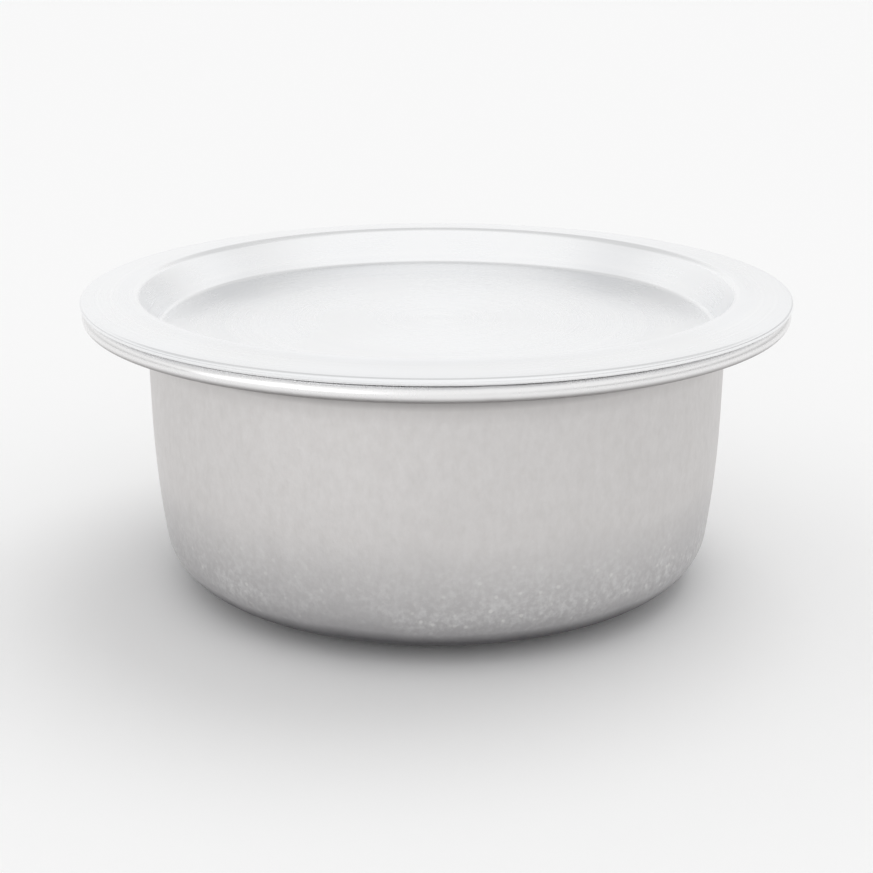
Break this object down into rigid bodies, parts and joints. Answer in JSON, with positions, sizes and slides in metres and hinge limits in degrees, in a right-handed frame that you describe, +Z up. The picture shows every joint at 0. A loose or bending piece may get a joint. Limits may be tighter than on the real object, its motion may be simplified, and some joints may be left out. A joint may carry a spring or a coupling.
{
  "type": "cooking pot with lid",
  "caption": "Round handleless aluminium cooking pot with a gently bowed wall, a wide flat flange ending in a rolled bead, and a drop-in lid with a sunken floor that lifts straight off.",
  "frame": {"origin": "centre of the flat base, on the surface that the pot stands on", "axes": "+Z up along the axis of the pot and the lid; the pot is round, so X and Y are any two level directions"},
  "size_m": [0.2436, 0.2436, 0.1029],
  "materials": {
    "pot_aluminium": "satin",
    "lid_aluminium": "bright satin"
  },
  "bodies": {
    "pot": {"pot_body": "pot_aluminium"},
    "lid": {"lid": "lid_aluminium"}
  },
  "joints": [
    {"name": "lid_lift", "type": "slide", "parent": "pot", "child": "lid", "axis": [0, 0, 1], "range_m": [0, 0.15]}
  ]
}
